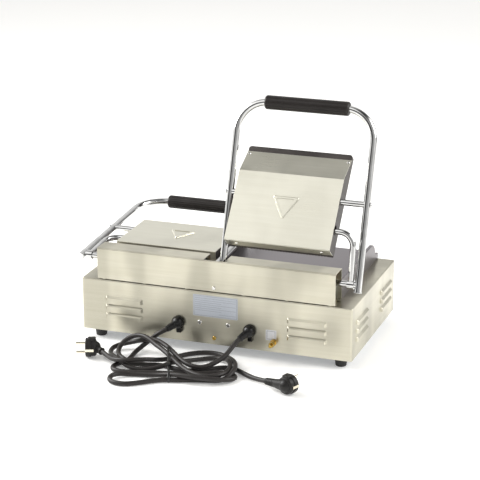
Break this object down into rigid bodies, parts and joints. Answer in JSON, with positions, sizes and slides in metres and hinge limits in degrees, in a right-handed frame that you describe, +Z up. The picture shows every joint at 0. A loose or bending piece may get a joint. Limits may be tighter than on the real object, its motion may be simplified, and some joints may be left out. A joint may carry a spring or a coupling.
{
  "type": "contact grill",
  "caption": "Twin contact grill: two hinged lids on tubular arms over one smooth lower plate, louvred steel base, drip tray, dials and two mains leads.",
  "frame": {"origin": "centre of the machine's footprint on the surface it stands on (without the mains leads)", "axes": "+Z up, -Y towards the user at the front panel, +Y the rear with the mains leads, +X the user's right"},
  "size_m": [0.5988, 0.5926, 0.5056],
  "materials": {
    "brushed_steel": "brushed",
    "galvanised_steel": "galvanised",
    "black_rubber": "matte",
    "zinc_screw": "zinc",
    "stainless_screw": "polished",
    "cast_iron_grey": "enamelled grey",
    "cast_iron_dark": "dark enamel",
    "heater_sheath": "heat-stained",
    "mineral_wool": "fibrous",
    "bronze": "sintered bronze",
    "spring_steel": "black oxide",
    "chrome": "mirror",
    "black_plastic": "satin",
    "switch_green": "translucent",
    "lamp_lens": "translucent",
    "aluminium_plate": "satin",
    "label_white": "satin",
    "bakelite": "matte",
    "ceramic": "glazed",
    "brass": "bright",
    "nickel_brass": "nickel plated",
    "cord_rubber": "satin",
    "tie_plastic": "satin"
  },
  "bodies": {
    "base": {"base_shell": "brushed_steel", "hinge_housing": "brushed_steel", "base_bottom": "galvanised_steel", "heat_shield_pan": "galvanised_steel", "drip_tray_guide": "galvanised_steel", "bearing_brackets": "galvanised_steel", "feet": "black_rubber", "foot_screws": "zinc_screw", "rear_screws": "stainless_screw", "lower_plate": "cast_iron_grey", "lower_heaters": "heater_sheath", "lower_insulation": "mineral_wool", "shaft_bushes": "bronze", "counter_springs": "spring_steel", "switch_frames": "black_plastic", "pilot_lamps": "lamp_lens", "dial_plates": "aluminium_plate", "rating_plate": "aluminium_plate", "bonding_label": "label_white", "thermostats": "bakelite", "terminal_block": "ceramic", "earthing_hardware": "brass", "cable_glands": "black_plastic", "plug_a": "cord_rubber", "plug_b": "cord_rubber", "plug_pins_a": "nickel_brass", "plug_pins_b": "nickel_brass", "cord_a_lead": "cord_rubber", "cord_b_lead": "cord_rubber", "cord_a_tail": "cord_rubber", "cord_b_tail": "cord_rubber", "cord_hank": "cord_rubber", "cord_tie": "tie_plastic"},
    "arm_left": {"arm_tube_left": "chrome", "arm_shaft_left": "chrome", "lid_cross_rod_left": "chrome", "arm_end_fittings_left": "chrome", "grip_left": "black_plastic"},
    "lid_left": {"lid_plate_left": "cast_iron_dark", "lid_cover_left": "brushed_steel", "cover_screws_left": "stainless_screw", "lid_heater_left": "heater_sheath", "lid_insulation_left": "mineral_wool"},
    "stay_left": {"stay_tube_left": "chrome"},
    "arm_right": {"arm_tube_right": "chrome", "arm_shaft_right": "chrome", "lid_cross_rod_right": "chrome", "arm_end_fittings_right": "chrome", "grip_right": "black_plastic"},
    "lid_right": {"lid_plate_right": "cast_iron_dark", "lid_cover_right": "brushed_steel", "cover_screws_right": "stainless_screw", "lid_heater_right": "heater_sheath", "lid_insulation_right": "mineral_wool"},
    "stay_right": {"stay_tube_right": "chrome"},
    "knob_left": {"knob_left": "black_plastic"},
    "knob_right": {"knob_right": "black_plastic"},
    "rocker_left": {"switch_rocker_left": "switch_green"},
    "rocker_right": {"switch_rocker_right": "switch_green"},
    "drawer": {"drip_tray": "brushed_steel"}
  },
  "joints": [
    {"name": "arm_left_swing", "type": "hinge", "parent": "base", "child": "arm_left", "pos_m": [-0.15, 0.14906, 0.172], "axis": [-1, 0, 0], "range_deg": [-68.5, 0], "stiffness_Nm_per_rad": 2.34, "springref_deg": 78.17},
    {"name": "lid_left_tilt", "type": "hinge", "parent": "arm_left", "child": "lid_left", "pos_m": [-0.13, 0.09956, 0.31994], "axis": [-1, 0, 0], "range_deg": [0, 17.02]},
    {"name": "stay_left_turn", "type": "hinge", "parent": "arm_left", "child": "stay_left", "pos_m": [-0.275, 0.14906, 0.172], "axis": [-1, 0, 0], "range_deg": [-9.42, 0]},
    {"name": "arm_right_swing", "type": "hinge", "parent": "base", "child": "arm_right", "pos_m": [0.15, 0.14906, 0.172], "axis": [-1, 0, 0], "range_deg": [0, 68.5], "stiffness_Nm_per_rad": 2.34, "springref_deg": 146.68},
    {"name": "lid_right_tilt", "type": "hinge", "parent": "arm_right", "child": "lid_right", "pos_m": [0.13, -0.00673, 0.18016], "axis": [-1, 0, 0], "range_deg": [-17.02, 0]},
    {"name": "stay_right_turn", "type": "hinge", "parent": "arm_right", "child": "stay_right", "pos_m": [0.275, 0.14906, 0.172], "axis": [-1, 0, 0], "range_deg": [0, 9.42]},
    {"name": "knob_left_turn", "type": "hinge", "parent": "base", "child": "knob_left", "pos_m": [-0.165, -0.14194, 0.072], "axis": [0, 1, 0], "range_deg": [0, 270]},
    {"name": "rocker_left_tip", "type": "hinge", "parent": "base", "child": "rocker_left", "pos_m": [-0.243, -0.13894, 0.072], "axis": [-1, 0, 0], "range_deg": [0, 18]},
    {"name": "knob_right_turn", "type": "hinge", "parent": "base", "child": "knob_right", "pos_m": [0.165, -0.14194, 0.072], "axis": [0, 1, 0], "range_deg": [0, 270]},
    {"name": "rocker_right_tip", "type": "hinge", "parent": "base", "child": "rocker_right", "pos_m": [0.243, -0.13894, 0.072], "axis": [-1, 0, 0], "range_deg": [0, 18]},
    {"name": "drip_tray_slide", "type": "slide", "parent": "base", "child": "drawer", "axis": [0, -1, 0], "range_m": [0, 0.12]}
  ],
  "couplings": [
    {"joint": "lid_left_tilt", "follows": "arm_left_swing", "ratio": -0.24818},
    {"joint": "stay_left_turn", "follows": "arm_left_swing", "ratio": 0.13725},
    {"joint": "lid_right_tilt", "follows": "arm_right_swing", "ratio": -0.24818},
    {"joint": "stay_right_turn", "follows": "arm_right_swing", "ratio": 0.13725}
  ]
}
